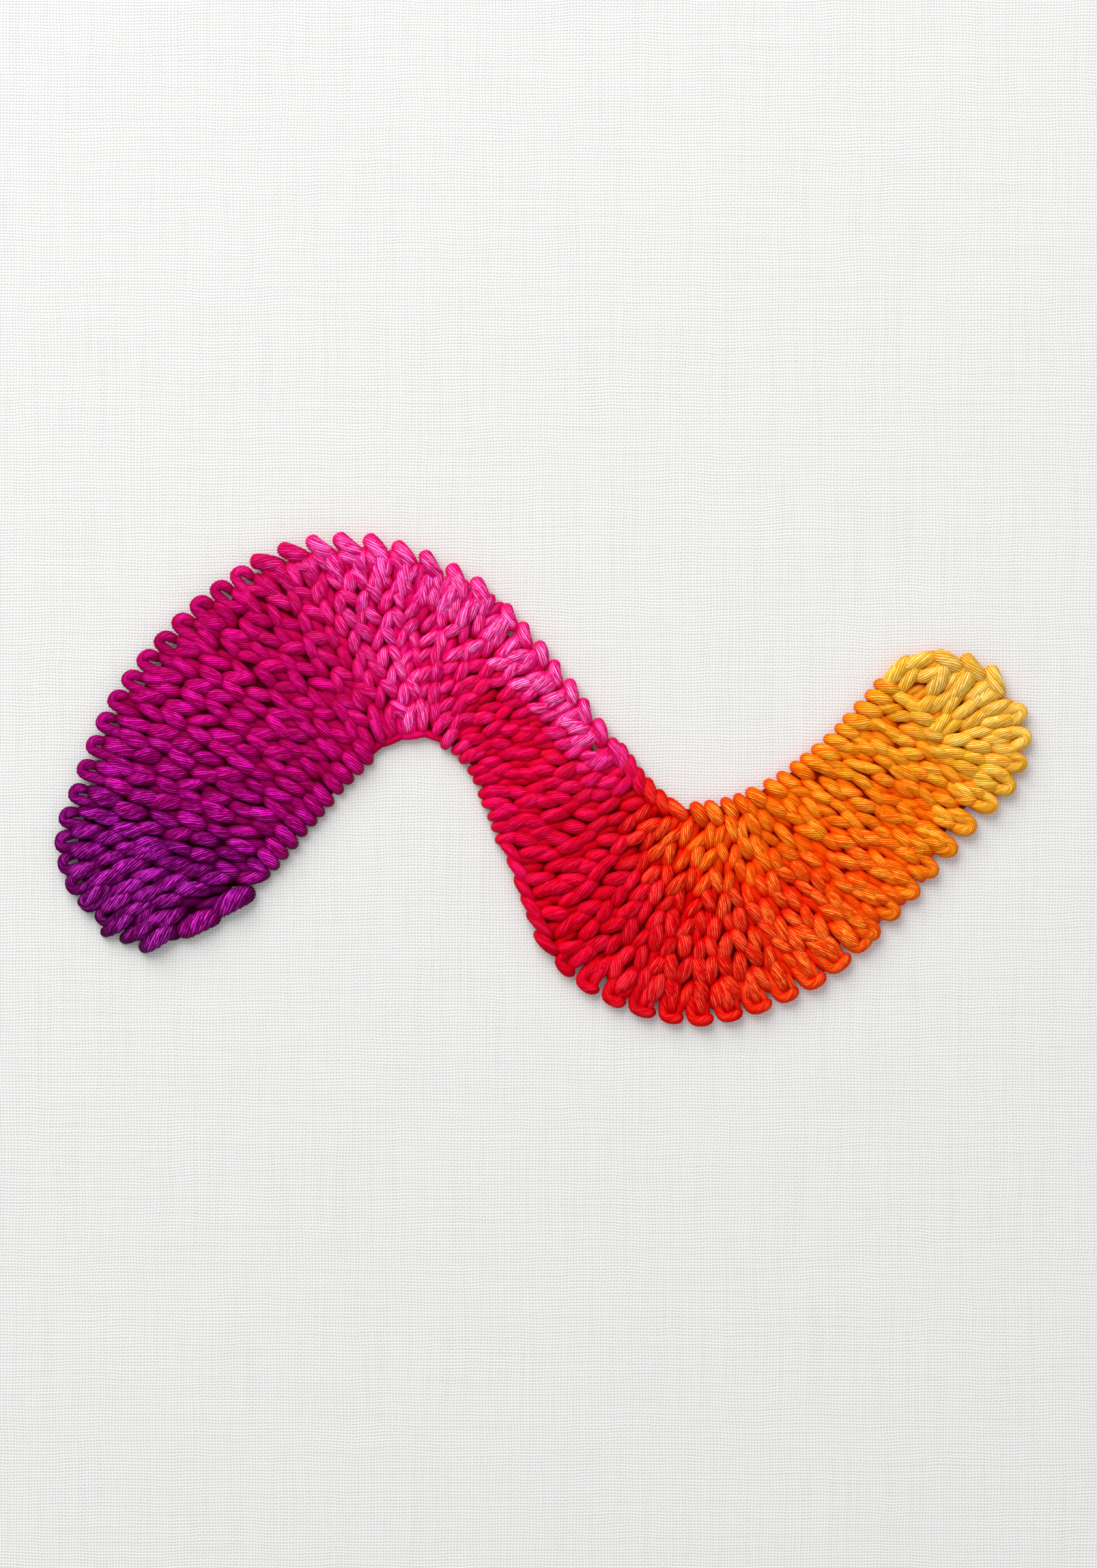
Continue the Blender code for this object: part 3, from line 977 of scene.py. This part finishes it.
linen = {
    "width": 142,
    "length": 200,
    "bottom": 0.02,
    "cell": 2.0,  # of the sheet's mesh
    "waves": 0.05,  # how unevenly the cloth lies
    "waveSpan": (22, 30),
    "flatEdge": 12,  # mm over which the waves die out at the edges
    "drift": 0.9,  # threads wander by about a tenth of it
    "driftSpan": 9,
    "relief": 0.12,  # mm
    "pore": "bebebc",
    "fibre": "ececeb",
    "threads": table(  # the level ones, then the upright ones, which lie lower
        "axis pitch top over slub swell",
        ("Y", 0.36, 0.78, 0.2, (16, 0.5), (0.66, 1.3)),
        ("X", 0.38, 0.6, -0.2, (0.5, 20), (0.7, 1.25)),
    ),
}


def linenMaterial():
    # bleached plain-weave linen, so matt white, with level threads stronger than upright ones and grey
    # pores between. Threads are drawn at their own 25 to the centimetre or a little closer.
    material, tree = newMaterial("bleached plain-weave linen")
    place = addNode(tree, "ShaderNodeTexCoord").outputs["Object"]
    drift = addNode(tree, "ShaderNodeTexNoise", {
        "Vector": place, "Scale": 1 / (linen["driftSpan"] * mm), "Detail": 2.0})
    centred = addNode(tree, "ShaderNodeVectorMath", {
        0: drift.outputs["Color"], 1: (0.5, 0.5, 0.5)}, operation="SUBTRACT")
    drifted = addNode(tree, "ShaderNodeVectorMath", {
        0: centred, "Scale": linen["drift"] * mm}, operation="SCALE")
    lain = addNode(tree, "ShaderNodeVectorMath", {0: place, 1: drifted}, operation="ADD")
    parts = addNode(tree, "ShaderNodeSeparateXYZ", {0: lain})
    sines = []
    for thread in linen["threads"]:
        phase = addNode(tree, "ShaderNodeMath", {
            0: parts.outputs[thread["axis"]], 1: math.pi / (thread["pitch"] * mm)}, operation="MULTIPLY")
        sines.append(addNode(tree, "ShaderNodeMath", {0: phase}, operation="SINE"))
    over = addNode(tree, "ShaderNodeMath", {0: sines[1], 1: sines[0]}, operation="MULTIPLY")
    heights = []
    for thread, sine in zip(linen["threads"], sines):
        rounded = addNode(tree, "ShaderNodeMath", {0: sine}, operation="ABSOLUTE")
        top = addNode(tree, "ShaderNodeMath", {
            0: over, 1: thread["over"], 2: thread["top"]}, operation="MULTIPLY_ADD")
        rise = addNode(tree, "ShaderNodeMath", {0: rounded, 1: top}, operation="MULTIPLY")
        # slubs: threads swell and thin over centimetres, each in its own way
        stretched = addNode(tree, "ShaderNodeVectorMath", {
            0: lain, 1: (1 / (thread["slub"][0] * mm), 1 / (thread["slub"][1] * mm), 1)},
            operation="MULTIPLY")
        slub = addNode(tree, "ShaderNodeTexNoise", {"Vector": stretched, "Scale": 1.0, "Detail": 2.0})
        swell = addNode(tree, "ShaderNodeMapRange", {
            "Value": slub, "From Min": 0.3, "From Max": 0.7,
            "To Min": thread["swell"][0], "To Max": thread["swell"][1]})
        heights.append(addNode(tree, "ShaderNodeMath", {0: rise, 1: swell}, operation="MULTIPLY"))
    weave = addNode(tree, "ShaderNodeMath", {0: heights[0], 1: heights[1]}, operation="MAXIMUM")
    relief = addNode(tree, "ShaderNodeBump", {
        "Strength": 0.5, "Distance": linen["relief"] * mm, "Height": weave})
    shade = addNode(tree, "ShaderNodeValToRGB", {"Fac": weave})
    for stop, position, key in zip(shade.color_ramp.elements, (0.12, 0.5), ("pore", "fibre")):
        stop.position = position
        stop.color = (*linear(linen[key]), 1)
    setInputs(tree, tree.nodes["Principled BSDF"], {
        "Base Color": shade, "Normal": relief, "Roughness": 0.9, "Specular IOR Level": 0.2})
    return material


def makeLinen():
    shape = bmesh.new()
    columns, rows = round(linen["width"] / linen["cell"]), round(linen["length"] / linen["cell"])
    bmesh.ops.create_grid(shape, x_segments=columns, y_segments=rows, size=0.5)
    for vertex in shape.verts:
        x, y = vertex.co.x * linen["width"], vertex.co.y * linen["length"]
        edge = min(linen["width"] / 2 - abs(x), linen["length"] / 2 - abs(y))
        wave = noise.noise(Vector((x / linen["waveSpan"][0], y / linen["waveSpan"][1], 3)))
        rise = wave * linen["waves"] * smoothShare(0, linen["flatEdge"], edge)
        vertex.co = Vector((x, y, linenTop + rise)) * mm
    rim = [e for e in shape.edges if e.is_boundary]
    walls = bmesh.ops.extrude_edge_only(shape, edges=rim)["geom"]
    for vertex in (v for v in walls if isinstance(v, bmesh.types.BMVert)):
        vertex.co.z = linen["bottom"] * mm
    foot = [e for e in walls if isinstance(e, bmesh.types.BMEdge) and e.is_boundary]
    bmesh.ops.edgeloop_fill(shape, edges=foot)
    bmesh.ops.recalc_face_normals(shape, faces=shape.faces[:])
    mesh = bpy.data.meshes.new("linen")
    shape.to_mesh(mesh)
    shape.free()
    mesh.materials.append(linenMaterial())
    piece = addObject("linen", mesh)
    mesh.shade_smooth()
    mesh.set_sharp_from_angle(angle=math.radians(40))
    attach(piece, "root")
    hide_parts("linen_ground")


makeLinen()
print("linen laid")


studio = {
    "floor": "e9e9e7",
    "sky": 0.6,
    "lampPower": 9.5,
    "lampPlace": (-0.35, 0.7, 0.62),
    "lampSize": 0.85,
    "viewHeight": 191.33,  # mm of cloth that the picture is high
    "lens": 85,
}


def makeStudio():
    bpy.ops.mesh.primitive_plane_add(size=3)
    floor = bpy.context.object
    floor.name = "floor"
    material, tree = newMaterial("pale floor")
    setInputs(tree, tree.nodes["Principled BSDF"], {
        "Base Color": (*linear(studio["floor"]), 1), "Roughness": 0.9})
    floor.data.materials.append(material)
    world = bpy.data.worlds.new("soft room")
    bpy.context.scene.world = world
    world.use_nodes = True
    setInputs(world.node_tree, world.node_tree.nodes["Background"], {
        "Color": (1, 1, 1, 1), "Strength": studio["sky"]})
    lamp = bpy.data.lights.new("soft lamp", "AREA")
    lamp.energy = studio["lampPower"]
    lamp.size = studio["lampSize"]
    lampObject = addObject("soft lamp", lamp)
    lampObject.location = studio["lampPlace"]
    lampObject.rotation_euler = (-Vector(studio["lampPlace"])).to_track_quat("-Z", "Y").to_euler()


def makeCamera():
    camera = bpy.data.cameras.new("camera")
    camera.lens = studio["lens"]
    camera.clip_start = 0.01
    cameraObject = addObject("camera", camera)
    distance = studio["viewHeight"] * mm * camera.lens / camera.sensor_width
    cameraObject.location = (0, 0, linenTop * mm + distance)
    bpy.context.scene.camera = cameraObject


makeStudio()
makeCamera()
bpy.context.scene.view_settings.view_transform = "Standard"  # dyed cotton keeps its full colour
print("floor, light and camera set")
